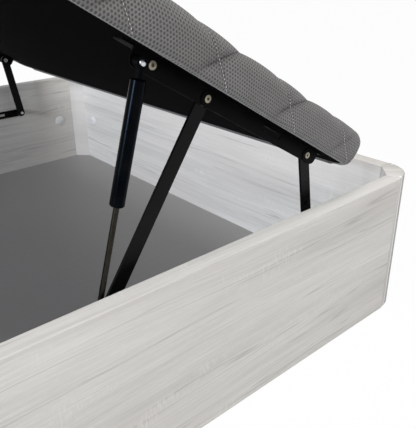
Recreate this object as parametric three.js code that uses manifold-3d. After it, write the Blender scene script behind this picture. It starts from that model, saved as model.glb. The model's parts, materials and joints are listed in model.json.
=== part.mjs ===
// Storage bed base: a low wooden box with a lift-up upholstered lid on two side linkages.
// Millimetres. X runs along the bed with the head at +X, Y across it, Z up, the floor at zero.
import * as THREE from 'three';
import { mergeVertices } from 'three/addons/utils/BufferGeometryUtils.js';
import Module from 'manifold-3d';

const wasm = await Module();
wasm.setup();

// Driving sizes of the box
const box = {
  length: 1900,
  width: 1350,
  height: 300,
  board: 30,
  post: 65,
  postProud: 1,
  edgeRadius: 2,
};

// Clearances between pieces that seat on each other or turn in each other
const clear = {
  seat: 0.3,
  pin: 0.3,
};
const overrun = 5;
const square = [0, 0, 0, 0];

// Steps of a full turn for each kind of round surface
const turns = {
  corner: 32,
  lidCorner: 16,
  edge: 12,
  hole: 16,
  hardware: 20,
  tube: 28,
};

// The corner joints: pockets in the boards' inner faces, closed by caps
const joint = {
  height: 152,
  fromPost: 52.5,
  pocketRadius: 14,
  pocketDepth: 22,
  capRadius: 16,
  capRise: 2.2,
  capRim: 0.8,
  plugDepth: 6,
};

// The storage floor: thin panels on flat battens
const floor = {
  battenHeight: 6,
  battenWidth: 22,
  crossBattenWidth: 60,
  crossBattens: 5,
  panel: 3.2,
  fromPost: 40,
};

// Places of the lid's linkage, seen from the side
const linkage = {
  lidTilt: 31,
  headPivotSetback: 293.5,
  headPivotAboveBox: 90.4,
  headPivotFromEnd: 108.3,
  closedOverhang: 2,
  pivotSpacing: 261,
  pivotDrop: 14.1,
  shortPivotBelowTop: 86,
  longPivotBelowTop: 68,
  gasReach: 129.8,
  gasDrop: 2.5,
  gasFootBack: 11.8,
  gasFootRise: 22,
};

// Depths from the box's outer side face to each layer of the linkage, and its sections
const layer = {
  railLeg: 51.5,
  railSheet: 2,
  arm: 55.8,
  armThickness: 4.4,
  gas: 40.4,
};
const rail = {
  legBelowPivot: 11.2,
  flangeWidth: 23.5,
  headEnd: 28,
  headCorner: 12,
  footEnd: 401,
  footCorner: 10,
  flangeHeadEnd: 40,
  flangeFootEnd: 421.5,
  flangeCorner: 9,
  slotFromPivot: 106.5,
  slotAbovePivot: 3,
  slotLength: 50,
  slotWidth: 9,
};
const lowerRail = {
  middleBelowTop: 91,
  height: 23,
  thickness: 3,
  pastShortPivot: 14,
  pastGasPivot: 58,
  corner: 9,
  slotFromPivot: 60,
  slotLength: 46,
  slotWidth: 9,
  earRadius: 13,
};
const arm = {
  width: 23,
  boreRadius: 4.3,
};
const pin = {
  radius: 4,
  headRadius: 5.5,
  headHeight: 1.4,
  socketRadius: 2.2,
  socketDepth: 0.8,
  washerRadius: 11,
  washerThickness: 1.2,
  bushRadius: 11.4,
  nutRadius: 6.4,
  nutThickness: 5,
  pastNut: 1,
  collarRadius: 7,
  rivetRadius: 6,
  rivetThickness: 2,
};
const gas = {
  tubeRadius: 10,
  rodRadius: 4,
  rodReach: 196,
  tubeLength: 161.3,
  boreDepth: 151,
  guideLength: 17,
  guideGroove: 0.5,
  shoulder: 2,
  eyeThickness: 6,
  lowerEyeRadius: 9,
  neckRadius: 5,
  upperNeckWidth: 6,
  lowerNeckEnd: 24,
  lowerNeckBore: 12,
  topGap: 19.8,
  upperEyeRadius: 8,
  upperPinRadius: 3.7,
  domeRadius: 5,
  domeHeight: 3.4,
};

// The lid: a board in a quilted cover, closed underneath by a black sheet. Heights are above the
// sheet's underside, and the cover's padded border hangs a little below it
const lid = {
  girth: 36,
  roll: 24,
  crown: 5,
  borderDrop: 6.5,
  tuck: 5,
  tuckHeight: 8,
  wall: 12,
  board: 15,
  sheet: 1.2,
  quiltAlong: 163,
  quiltAcross: 153,
  quiltStart: 103,
  quiltRow: 28,
  quiltDepth: 4.5,
};

const tilt = THREE.MathUtils.degToRad(linkage.lidTilt);
const sides = [
  { name: 'near', sign: -1 },
  { name: 'far', sign: 1 },
];
const ends = [
  { name: 'head', sign: 1 },
  { name: 'foot', sign: -1 },
];

// Materials
const paint = {
  board: new THREE.MeshStandardMaterial({ color: 0xd9d8d5, roughness: 0.6 }),
  post: new THREE.MeshStandardMaterial({ color: 0xdddcd9, roughness: 0.6 }),
  floor: new THREE.MeshStandardMaterial({ color: 0x8f9091, roughness: 0.7 }),
  batten: new THREE.MeshStandardMaterial({ color: 0xb9a78a, roughness: 0.8 }),
  cap: new THREE.MeshStandardMaterial({ color: 0xe6e6e6, roughness: 0.45 }),
  steel: new THREE.MeshStandardMaterial({ color: 0x15171b, roughness: 0.35, metalness: 0.4 }),
  zinc: new THREE.MeshStandardMaterial({ color: 0xc9c2ae, roughness: 0.3, metalness: 0.9 }),
  nylon: new THREE.MeshStandardMaterial({ color: 0xaeb2b5, roughness: 0.5 }),
  tube: new THREE.MeshStandardMaterial({ color: 0x101216, roughness: 0.2, metalness: 0.3 }),
  rod: new THREE.MeshStandardMaterial({ color: 0x46484b, roughness: 0.2, metalness: 0.9 }),
  fabric: new THREE.MeshStandardMaterial({ color: 0x6d6d6b, roughness: 0.95 }),
  sheet: new THREE.MeshStandardMaterial({ color: 0x17181a, roughness: 0.8 }),
  plywood: new THREE.MeshStandardMaterial({ color: 0xc2a97e, roughness: 0.8 }),
};

const group = new THREE.Group();
group.name = 'storage_bed_base';

// Closed bodies from and to three's meshes
function solid(geometry) {
  const bare = geometry.clone();
  bare.deleteAttribute('normal');
  bare.deleteAttribute('uv');
  const merged = mergeVertices(bare);
  const index = merged.index.array;
  const kept = [];
  for (let i = 0; i < index.length; i += 3) {
    const corners = [index[i], index[i + 1], index[i + 2]];
    if (new Set(corners).size === 3) kept.push(...corners);
  }
  return new wasm.Manifold(new wasm.Mesh({
    numProp: 3,
    vertProperties: new Float32Array(merged.attributes.position.array),
    triVerts: new Uint32Array(kept),
  }));
}

function add(name, body, material) {
  const mesh = body.getMesh();
  const geometry = new THREE.BufferGeometry();
  geometry.setAttribute('position', new THREE.BufferAttribute(new Float32Array(mesh.vertProperties), 3));
  geometry.setIndex(new THREE.BufferAttribute(new Uint32Array(mesh.triVerts), 1));
  geometry.computeVertexNormals();
  const piece = new THREE.Mesh(geometry, material.clone());
  piece.name = name;
  group.add(piece);
}

function together(bodies) {
  return wasm.Manifold.union(bodies);
}

// Flat outlines: lists of points, round where the piece is round
function arc(x, y, radius, from, to, fullTurn) {
  const sweep = to - from;
  const steps = Math.max(2, Math.round((Math.abs(sweep) / (2 * Math.PI)) * fullTurn));
  const points = [];
  for (let i = 0; i <= steps; i += 1) {
    const angle = from + (sweep * i) / steps;
    points.push(new THREE.Vector2(x + radius * Math.cos(angle), y + radius * Math.sin(angle)));
  }
  return points;
}

function circle(x, y, radius, fullTurn) {
  return arc(x, y, radius, 0, 2 * Math.PI, fullTurn).slice(0, -1);
}

function rounded(x0, x1, y0, y1, radii, fullTurn) {
  const quarter = Math.PI / 2;
  const corners = [
    [x1 - radii[0], y0 + radii[0], radii[0], -quarter],
    [x1 - radii[1], y1 - radii[1], radii[1], 0],
    [x0 + radii[2], y1 - radii[2], radii[2], quarter],
    [x0 + radii[3], y0 + radii[3], radii[3], 2 * quarter],
  ];
  const points = [];
  for (const [x, y, radius, start] of corners) {
    if (radius > 0) points.push(...arc(x, y, radius, start, start + quarter, fullTurn));
    else points.push(new THREE.Vector2(x, y));
  }
  return points;
}

function slot(x, y, length, width) {
  const end = width / 2;
  return rounded(x - length / 2, x + length / 2, y - end, y + end, [end, end, end, end], turns.hole);
}

function hexagon(x, y, acrossFlats) {
  return circle(x, y, acrossFlats / Math.sqrt(3), 6);
}

function extrude(points, holes, depth, bevel) {
  const shape = new THREE.Shape(points);
  shape.holes = holes.map((hole) => new THREE.Path(hole));
  if (!bevel) return new THREE.ExtrudeGeometry(shape, { depth, bevelEnabled: false });
  const geometry = new THREE.ExtrudeGeometry(shape, {
    depth: depth - 2 * bevel,
    bevelEnabled: true,
    bevelThickness: bevel,
    bevelSize: bevel,
    bevelOffset: -bevel,
    bevelSegments: 2,
  });
  geometry.translate(0, 0, bevel);
  return geometry;
}

// A slab drawn in plan, between two heights
function slab(points, low, high, holes = [], bevel = 0) {
  const geometry = extrude(points, holes, high - low, bevel);
  geometry.translate(0, 0, low);
  return geometry;
}

// A plate drawn from the side, between two depths from a side's outer face
function across(side, depth) {
  return side.sign * (box.width / 2 - depth);
}

function plate(points, side, from, to, holes = []) {
  const geometry = extrude(points, holes, to - from, 0);
  geometry.rotateX(Math.PI / 2);
  geometry.translate(0, Math.max(across(side, from), across(side, to)), 0);
  return geometry;
}

// A turned piece: its profile's radii and distances, from a place along a direction
const upright = new THREE.Vector3(0, 1, 0);
function turned(profile, place, direction, fullTurn) {
  const points = profile.map(([radius, along]) => new THREE.Vector2(radius, along));
  const geometry = new THREE.LatheGeometry(points, fullTurn);
  geometry.applyQuaternion(new THREE.Quaternion().setFromUnitVectors(upright, direction));
  geometry.translate(place.x, place.y, place.z);
  return geometry;
}

function bar(radius, from, to, place, direction, fullTurn) {
  return turned([[0, from], [radius, from], [radius, to], [0, to]], place, direction, fullTurn);
}

function inward(side) {
  return new THREE.Vector3(0, -side.sign, 0);
}

function onSide(side, x, z) {
  return new THREE.Vector3(x, across(side, 0), z);
}

// Corners of the box, boards' ends and the joints in them
const halfLength = box.length / 2;
const halfWidth = box.width / 2;
const boardEnd = box.post + clear.seat;
const xAxis = new THREE.Vector3(1, 0, 0);
const yAxis = new THREE.Vector3(0, 1, 0);
const zAxis = new THREE.Vector3(0, 0, 1);

// Every corner joint: the board it is in, its cap's name, its place and the way into the box
const joints = [];
for (const end of ends) {
  for (const side of sides) {
    const fromEnd = box.post + joint.fromPost;
    joints.push({
      board: `side_board_${side.name}`,
      cap: `cover_cap_${side.name}_side_${end.name}`,
      face: new THREE.Vector3(end.sign * (halfLength - fromEnd), across(side, box.board), joint.height),
      toInside: inward(side),
    });
    joints.push({
      board: `${end.name}_board`,
      cap: `cover_cap_${end.name}_end_${side.name}`,
      face: new THREE.Vector3(end.sign * (halfLength - box.board), across(side, fromEnd), joint.height),
      toInside: xAxis.clone().multiplyScalar(-end.sign),
    });
  }
}

function cutPockets(body, name) {
  const cutters = joints.filter((item) => item.board === name).map((item) => solid(bar(
    joint.pocketRadius, -joint.pocketDepth, overrun, item.face, item.toInside, turns.tube,
  )));
  return body.subtract(together(cutters));
}

// Boards: a section with rounded top edges, run along the bed or across it
function board(length) {
  const half = box.board / 2;
  const top = box.edgeRadius;
  const section = rounded(-half, half, 0, box.height, [0, top, top, 0], turns.edge);
  const geometry = extrude(section, [], length, 0);
  geometry.translate(0, 0, -length / 2);
  geometry.applyMatrix4(new THREE.Matrix4().makeBasis(yAxis, zAxis, xAxis));
  return geometry;
}

function makeBoards() {
  for (const side of sides) {
    const name = `side_board_${side.name}`;
    const geometry = board(box.length - 2 * boardEnd);
    geometry.translate(0, across(side, box.board / 2), 0);
    add(name, cutPockets(solid(geometry), name), paint.board);
  }
  for (const end of ends) {
    const name = `${end.name}_board`;
    const geometry = board(box.width - 2 * boardEnd);
    geometry.rotateZ(Math.PI / 2);
    geometry.translate(end.sign * (halfLength - box.board / 2), 0, 0);
    add(name, cutPockets(solid(geometry), name), paint.board);
  }
}

// Corner posts: a quarter round outside, a flat chamfer inside
function makePosts() {
  for (const end of ends) {
    for (const side of sides) {
      const local = [
        new THREE.Vector2(box.post, box.board),
        new THREE.Vector2(box.board, box.post),
        ...arc(box.post, box.post, box.post, Math.PI, 1.5 * Math.PI, turns.corner),
      ];
      const outline = local.map((point) => new THREE.Vector2(
        end.sign * (halfLength - point.x),
        side.sign * (halfWidth - point.y),
      ));
      const body = solid(slab(outline, 0, box.height + box.postProud, [], box.edgeRadius));
      add(`corner_post_${end.name}_${side.name}`, body, paint.post);
    }
  }
}

function makeCaps() {
  const plug = joint.pocketRadius - clear.pin;
  for (const item of joints) {
    add(item.cap, solid(turned([
      [0, -joint.plugDepth],
      [plug, -joint.plugDepth],
      [plug, clear.seat],
      [joint.capRadius, clear.seat],
      [joint.capRadius, joint.capRim],
      [joint.capRadius - joint.capRise, joint.capRise],
      [0, joint.capRise],
    ], item.face, item.toInside, turns.tube)), paint.cap);
  }
}

// Storage floor: two panels on one frame of battens
function makeFloor() {
  const top = floor.battenHeight + clear.seat + floor.panel;
  const wallX = halfLength - box.board - clear.seat;
  const wallY = halfWidth - box.board - clear.seat;
  const chamfer = box.post - box.board + clear.seat * Math.SQRT2;
  for (const end of ends) {
    const outline = [
      [clear.seat, -wallY],
      [wallX - chamfer, -wallY],
      [wallX, -wallY + chamfer],
      [wallX, wallY - chamfer],
      [wallX - chamfer, wallY],
      [clear.seat, wallY],
    ].map(([x, y]) => new THREE.Vector2(end.sign * x, y));
    add(`floor_panel_${end.name}`, solid(slab(outline, top - floor.panel, top)), paint.floor);
  }
  const sideRun = halfLength - box.post - floor.fromPost;
  const battens = sides.map((side) => {
    const y = [side.sign * wallY, side.sign * (wallY - floor.battenWidth)].sort((a, b) => a - b);
    return solid(slab(rounded(-sideRun, sideRun, y[0], y[1], square, 1), 0, floor.battenHeight));
  });
  const half = floor.crossBattenWidth / 2;
  const reach = sideRun - half;
  for (let i = 0; i < floor.crossBattens; i += 1) {
    const x = -reach + (2 * reach * i) / (floor.crossBattens - 1);
    const outline = rounded(x - half, x + half, -wallY, wallY, square, 1);
    battens.push(solid(slab(outline, 0, floor.battenHeight)));
  }
  add('floor_battens', together(battens), paint.batten);
}

// The linkage's pivots, with the lid open as it is built and with the lid closed
const lidRest = box.height + box.postProud + clear.seat;
const openHead = {
  x: halfLength - linkage.headPivotSetback,
  z: box.height + linkage.headPivotAboveBox,
};
const closedHead = {
  x: halfLength + linkage.closedOverhang - linkage.headPivotFromEnd,
  z: lidRest + lid.borderDrop - linkage.pivotDrop,
};
const gasOnLid = { along: linkage.pivotSpacing + linkage.gasReach, up: -linkage.gasDrop };

// A point of the lid, seen from the side, with its head pivot at a place and at a tilt
function onLidAt(head, angle, along, up) {
  return {
    x: head.x - along * Math.cos(angle) + up * Math.sin(angle),
    z: head.z + along * Math.sin(angle) + up * Math.cos(angle),
  };
}
const openLong = onLidAt(openHead, tilt, linkage.pivotSpacing, 0);
const closedLong = onLidAt(closedHead, 0, linkage.pivotSpacing, 0);
const openGas = onLidAt(openHead, tilt, gasOnLid.along, gasOnLid.up);

// An arm's foot lies as far from its upper pivot's open place as from its closed one
function footOf(open, closed, belowTop) {
  const height = box.height - belowTop;
  const run = closed.x - open.x;
  const rise = closed.z - open.z;
  const overMiddle = height - (open.z + closed.z) / 2;
  return { x: (open.x + closed.x) / 2 - (overMiddle * rise) / run, z: height };
}
const shortFoot = footOf(openHead, closedHead, linkage.shortPivotBelowTop);
const longFoot = footOf(openLong, closedLong, linkage.longPivotBelowTop);
const gasFoot = { x: longFoot.x - linkage.gasFootBack, z: longFoot.z + linkage.gasFootRise };

function reachOf(from, to) {
  return Math.hypot(to.x - from.x, to.z - from.z);
}

function angleOf(from, to) {
  return Math.atan2(to.z - from.z, to.x - from.x);
}

// Pieces drawn along X are set between a lower and an upper pivot
function setBetween(geometry, from, to) {
  geometry.rotateY(-angleOf(from, to));
  geometry.translate(from.x, 0, from.z);
  return geometry;
}

// Pieces drawn on the lid, with the head pivot at zero, are set at the open lid
function setOnLid(geometry) {
  geometry.rotateY(tilt);
  geometry.translate(openHead.x, 0, openHead.z);
  return geometry;
}

// Depths of the hardware that stands between the layers
const legInner = layer.railLeg + layer.railSheet;
const armInner = layer.arm + layer.armThickness;
const nutStart = armInner + clear.seat;
const nutEnd = nutStart + pin.nutThickness;
const shankEnd = nutEnd + pin.pastNut;
const gasEyeOuter = layer.gas - gas.eyeThickness / 2;
const gasEyeInner = layer.gas + gas.eyeThickness / 2;
const lowerPlateOuter = box.board + clear.seat;
const lowerPlateInner = lowerPlateOuter + lowerRail.thickness;
const shankHole = pin.radius + clear.pin;

// Lower rails on the box's side boards: a strip with slots, and an ear for the upper pivots
function lowerRailBody(side) {
  const half = lowerRail.height / 2;
  const corner = lowerRail.corner;
  const middle = box.height - lowerRail.middleBelowTop;
  const bottom = middle - half;
  const strip = rounded(
    gasFoot.x - lowerRail.pastGasPivot,
    shortFoot.x + lowerRail.pastShortPivot,
    bottom,
    middle + half,
    [corner, corner, corner, corner],
    turns.corner,
  );
  const round = lowerRail.earRadius;
  const earCorners = [corner, round, round, corner];
  const ear = rounded(
    gasFoot.x - round, longFoot.x + round, bottom, gasFoot.z + round, earCorners, turns.corner,
  );
  const holes = [shortFoot, longFoot, gasFoot].map(
    (pivot) => circle(pivot.x, pivot.z, shankHole, turns.hole),
  );
  for (const x of [
    shortFoot.x - lowerRail.slotFromPivot,
    (shortFoot.x + longFoot.x) / 2,
    longFoot.x + lowerRail.slotFromPivot,
  ]) {
    holes.push(slot(x, middle, lowerRail.slotLength, lowerRail.slotWidth));
  }
  const cutters = together(holes.map((hole) => solid(
    plate(hole, side, lowerPlateOuter - overrun, lowerPlateInner + overrun),
  )));
  const plates = [strip, ear].map((outline) => solid(plate(outline, side, lowerPlateOuter, lowerPlateInner)));
  return together(plates).subtract(cutters);
}

// Pins of the lower rails: a tail in the plate, a collar up to the first piece that turns on it,
// and a riveted end behind the last one
function lowerPin(side, pivot, turning) {
  const collarStart = lowerPlateInner + clear.seat;
  const profile = [
    [0, lowerPlateOuter + clear.seat],
    [pin.radius, lowerPlateOuter + clear.seat],
    [pin.radius, collarStart],
    [pin.collarRadius, collarStart],
    [pin.collarRadius, turning.from - clear.seat],
  ];
  if (turning.to) {
    const rivetStart = turning.to + clear.seat;
    profile.push(
      [pin.radius, turning.from - clear.seat],
      [pin.radius, rivetStart],
      [pin.rivetRadius, rivetStart],
      [pin.rivetRadius, rivetStart + pin.rivetThickness],
      [0, rivetStart + pin.rivetThickness],
    );
  } else {
    profile.push([0, turning.from - clear.seat]);
  }
  return solid(turned(profile, onSide(side, pivot.x, pivot.z), inward(side), turns.hardware));
}

function makeLowerRails() {
  for (const side of sides) {
    add(`lower_rail_${side.name}`, lowerRailBody(side), paint.steel);
    add(`short_arm_pin_${side.name}`, lowerPin(side, shortFoot, { from: layer.arm }), paint.steel);
    const longArm = { from: layer.arm, to: armInner };
    add(`long_arm_pin_${side.name}`, lowerPin(side, longFoot, longArm), paint.steel);
    const gasEye = { from: gasEyeOuter, to: gasEyeInner };
    add(`gas_foot_pin_${side.name}`, lowerPin(side, gasFoot, gasEye), paint.steel);
  }
}

// Rails under the lid: an upright leg that carries the pivots and a flange against the lid
const flangeTop = linkage.pivotDrop - clear.seat;
const flangeUnder = flangeTop - layer.railSheet;

function makeLidRails() {
  const leg = rounded(
    -rail.footEnd, rail.headEnd, -rail.legBelowPivot, flangeTop,
    [rail.headCorner, 0, 0, rail.footCorner], turns.corner,
  );
  const legHoles = [
    circle(0, 0, shankHole, turns.hole),
    circle(-linkage.pivotSpacing, 0, shankHole, turns.hole),
    circle(-gasOnLid.along, gasOnLid.up, shankHole, turns.hole),
    slot(-rail.slotFromPivot, rail.slotAbovePivot, rail.slotLength, rail.slotWidth),
  ];
  for (const side of sides) {
    const y = [
      across(side, layer.railLeg),
      across(side, layer.railLeg + rail.flangeWidth),
    ].sort((a, b) => a - b);
    const corner = rail.flangeCorner;
    const inner = side.sign < 0 ? [0, corner, corner, 0] : [corner, 0, 0, corner];
    const outline = rounded(-rail.flangeFootEnd, rail.flangeHeadEnd, y[0], y[1], inner, turns.corner);
    const flange = solid(setOnLid(slab(outline, flangeUnder, flangeTop)));
    const upright = solid(setOnLid(plate(leg, side, layer.railLeg, legInner, legHoles)));
    add(`lid_rail_${side.name}`, flange.add(upright), paint.steel);
  }
}

// Bolts, bushes and nuts of the lid's four pivots, and the studs of the gas springs
function makeLidHardware() {
  const washerStart = layer.railLeg - clear.seat - pin.washerThickness;
  const headStart = washerStart - pin.headHeight;
  const washerEnd = layer.railLeg - clear.seat;
  const pivots = [
    ['short_arm', 0],
    ['long_arm', -linkage.pivotSpacing],
  ];
  for (const side of sides) {
    for (const [name, x] of pivots) {
      add(`${name}_lid_bolt_${side.name}`, solid(setOnLid(turned([
        [0, headStart + pin.socketDepth],
        [pin.socketRadius, headStart + pin.socketDepth],
        [pin.socketRadius, headStart],
        [pin.headRadius, headStart],
        [pin.headRadius, washerStart],
        [pin.washerRadius, washerStart],
        [pin.washerRadius, washerEnd],
        [pin.radius, washerEnd],
        [pin.radius, shankEnd],
        [0, shankEnd],
      ], onSide(side, x, 0), inward(side), turns.hardware))), paint.zinc);
      add(`${name}_lid_bush_${side.name}`, solid(setOnLid(plate(
        circle(x, 0, pin.bushRadius, turns.tube), side, legInner + clear.seat, layer.arm - clear.seat,
        [circle(x, 0, shankHole, turns.hole)],
      ))), paint.nylon);
      add(`${name}_lid_nut_${side.name}`, solid(setOnLid(plate(
        hexagon(x, 0, pin.nutRadius * Math.sqrt(3)), side, nutStart, nutEnd,
        [circle(x, 0, shankHole, turns.hole)],
      ))), paint.zinc);
    }
    add(`gas_lid_stud_${side.name}`, solid(setOnLid(turned([
      [0, gasEyeInner + clear.seat],
      [pin.collarRadius, gasEyeInner + clear.seat],
      [pin.collarRadius, layer.railLeg - clear.seat],
      [pin.radius, layer.railLeg - clear.seat],
      [pin.radius, legInner],
      [0, legInner],
    ], onSide(side, -gasOnLid.along, gasOnLid.up), inward(side), turns.hardware))), paint.steel);
  }
}

// Arms: flat bars with round ends. The short arm's foot carries a stud against the lower pin
function makeArms() {
  const end = arm.width / 2;
  for (const side of sides) {
    for (const [name, foot, top] of [
      ['long_arm', longFoot, openLong],
      ['short_arm', shortFoot, openHead],
    ]) {
      const reach = reachOf(foot, top);
      const outline = rounded(-end, reach + end, -end, end, [end, end, end, end], turns.corner);
      const bores = [circle(reach, 0, arm.boreRadius, turns.hole)];
      if (name === 'long_arm') bores.push(circle(0, 0, arm.boreRadius, turns.hole));
      let body = solid(setBetween(plate(outline, side, layer.arm, armInner, bores), foot, top));
      if (name === 'short_arm') {
        const stud = bar(
          pin.rivetRadius, armInner - clear.seat, armInner + pin.nutThickness,
          onSide(side, 0, 0), inward(side), turns.hardware,
        );
        body = body.add(solid(setBetween(stud, foot, top)));
      }
      add(`${name}_${side.name}`, body, paint.steel);
    }
  }
}

function eyeBore(side, along, radius) {
  return bar(
    radius, gasEyeOuter - overrun, gasEyeInner + overrun, onSide(side, along, 0), inward(side), turns.hole,
  );
}

// Gas springs: a rod on a pin of the lower rail and a tube that slides on it up to the lid's stud.
// The tube's neck is as flat as its eye, so that it passes beside the stud as the lid moves
function makeGasSprings() {
  const reach = reachOf(gasFoot, openGas);
  const tubeTop = reach - gas.topGap;
  const tubeFoot = tubeTop - gas.tubeLength;
  const guideTop = tubeFoot + gas.guideLength;
  const boreTop = tubeFoot + gas.boreDepth;
  const bore = gas.rodRadius + clear.pin;
  const groove = gas.tubeRadius - gas.guideGroove;
  for (const side of sides) {
    const axis = new THREE.Vector3(0, across(side, layer.gas), 0);
    const put = (geometry) => solid(setBetween(geometry, gasFoot, openGas));
    const rod = bar(gas.rodRadius, gas.lowerNeckBore + clear.seat, gas.rodReach, axis, xAxis, turns.hardware);
    add(`gas_rod_${side.name}`, put(rod), paint.rod);
    const lowerEye = put(plate(circle(0, 0, gas.lowerEyeRadius, turns.tube), side, gasEyeOuter, gasEyeInner));
    const neck = put(bar(
      gas.neckRadius, gas.lowerEyeRadius - clear.seat, gas.lowerNeckEnd, axis, xAxis, turns.hardware,
    ));
    const lowerBores = together([
      eyeBore(side, 0, shankHole),
      bar(bore, gas.lowerNeckBore, gas.lowerNeckEnd + overrun, axis, xAxis, turns.hardware),
    ].map(put));
    add(`gas_rod_eye_${side.name}`, lowerEye.add(neck).subtract(lowerBores), paint.steel);
    add(`gas_tube_${side.name}`, put(turned([
      [bore, tubeFoot],
      [gas.tubeRadius - gas.shoulder, tubeFoot],
      [gas.tubeRadius, tubeFoot + gas.shoulder],
      [gas.tubeRadius, guideTop],
      [groove, guideTop],
      [groove, guideTop + gas.guideGroove],
      [gas.tubeRadius, guideTop + gas.guideGroove],
      [gas.tubeRadius, tubeTop - gas.shoulder],
      [gas.tubeRadius - gas.shoulder, tubeTop],
      [0, tubeTop],
      [0, boreTop],
      [bore, boreTop],
      [bore, tubeFoot],
    ], axis, xAxis, turns.tube)), paint.tube);
    const upperOutline = circle(reach, 0, gas.upperEyeRadius, turns.tube);
    const upperEye = put(plate(upperOutline, side, gasEyeOuter, gasEyeInner));
    const upperNeckEnd = reach - gas.upperEyeRadius + clear.seat;
    const neckHalf = gas.upperNeckWidth / 2;
    const neckOutline = rounded(
      tubeTop + clear.seat, upperNeckEnd, -neckHalf, neckHalf, square, turns.hole,
    );
    const upperNeck = put(plate(neckOutline, side, gasEyeOuter, gasEyeInner));
    const upperBore = put(eyeBore(side, reach, gas.upperPinRadius + clear.pin));
    add(`gas_top_eye_${side.name}`, upperEye.add(upperNeck).subtract(upperBore), paint.steel);
    const domeBase = gasEyeOuter - clear.seat;
    const domeLift = (turn) => domeBase - gas.domeHeight * Math.sin(turn);
    const domeReach = (turn) => gas.domeRadius * Math.cos(turn);
    add(`gas_top_pin_${side.name}`, put(turned([
      [0, domeLift(Math.PI / 2)],
      [domeReach(Math.PI / 3), domeLift(Math.PI / 3)],
      [domeReach(Math.PI / 6), domeLift(Math.PI / 6)],
      [gas.domeRadius, domeBase],
      [gas.upperPinRadius, domeBase],
      [gas.upperPinRadius, gasEyeInner],
      [0, gasEyeInner],
    ], onSide(side, reach, 0), inward(side), turns.hardware)), paint.zinc);
  }
}

// Heights on the lid, from the line of its pivots
const lidUnder = linkage.pivotDrop;
const boardUnder = lidUnder + lid.sheet + clear.seat;
const boardTop = boardUnder + lid.board;
const ceiling = boardTop + clear.seat;
const lidHeadX = linkage.headPivotFromEnd;
const lidFootX = lidHeadX - box.length;

function lidOutline(inset) {
  const corner = box.post - inset;
  return rounded(
    lidFootX + inset, lidHeadX - inset, -halfWidth + inset, halfWidth - inset,
    [corner, corner, corner, corner], turns.lidCorner,
  );
}

function makeLidBoards() {
  const outline = lidOutline(lid.wall + clear.seat);
  const panel = slab(outline, boardUnder, boardTop);
  add('lid_board', solid(setOnLid(panel)), paint.plywood);
  const sheet = slab(outline, lidUnder, lidUnder + lid.sheet);
  add('lid_underside', solid(setOnLid(sheet)), paint.sheet);
}

// The quilted cover: a sheet laid over the lid, with its seams drawn in along a diamond net
const rollLength = (lid.roll * Math.PI) / 2;

function drape(fromGirth) {
  if (fromGirth < rollLength) {
    const angle = fromGirth / lid.roll;
    return {
      inset: lid.roll * (1 - Math.cos(angle)),
      height: lid.girth + lid.roll * Math.sin(angle),
      out: Math.cos(angle),
      up: Math.sin(angle),
    };
  }
  return { inset: lid.roll + fromGirth - rollLength, height: lid.girth + lid.roll, out: 0, up: 1 };
}

function coverLines(total, start, pitch) {
  const rollSteps = 3;
  const margin = pitch / 8;
  const inCorner = rollLength + (box.post - lid.roll) / 2;
  const lines = [inCorner, total - inCorner];
  for (let i = 0; i <= rollSteps; i += 1) {
    lines.push((rollLength * i) / rollSteps, total - (rollLength * i) / rollSteps);
  }
  const first = start - pitch * Math.floor((start - rollLength) / pitch);
  for (let line = first; line < total - rollLength - margin; line += pitch) {
    if (line > rollLength + margin) lines.push(line);
  }
  return lines.sort((a, b) => a - b);
}

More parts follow.
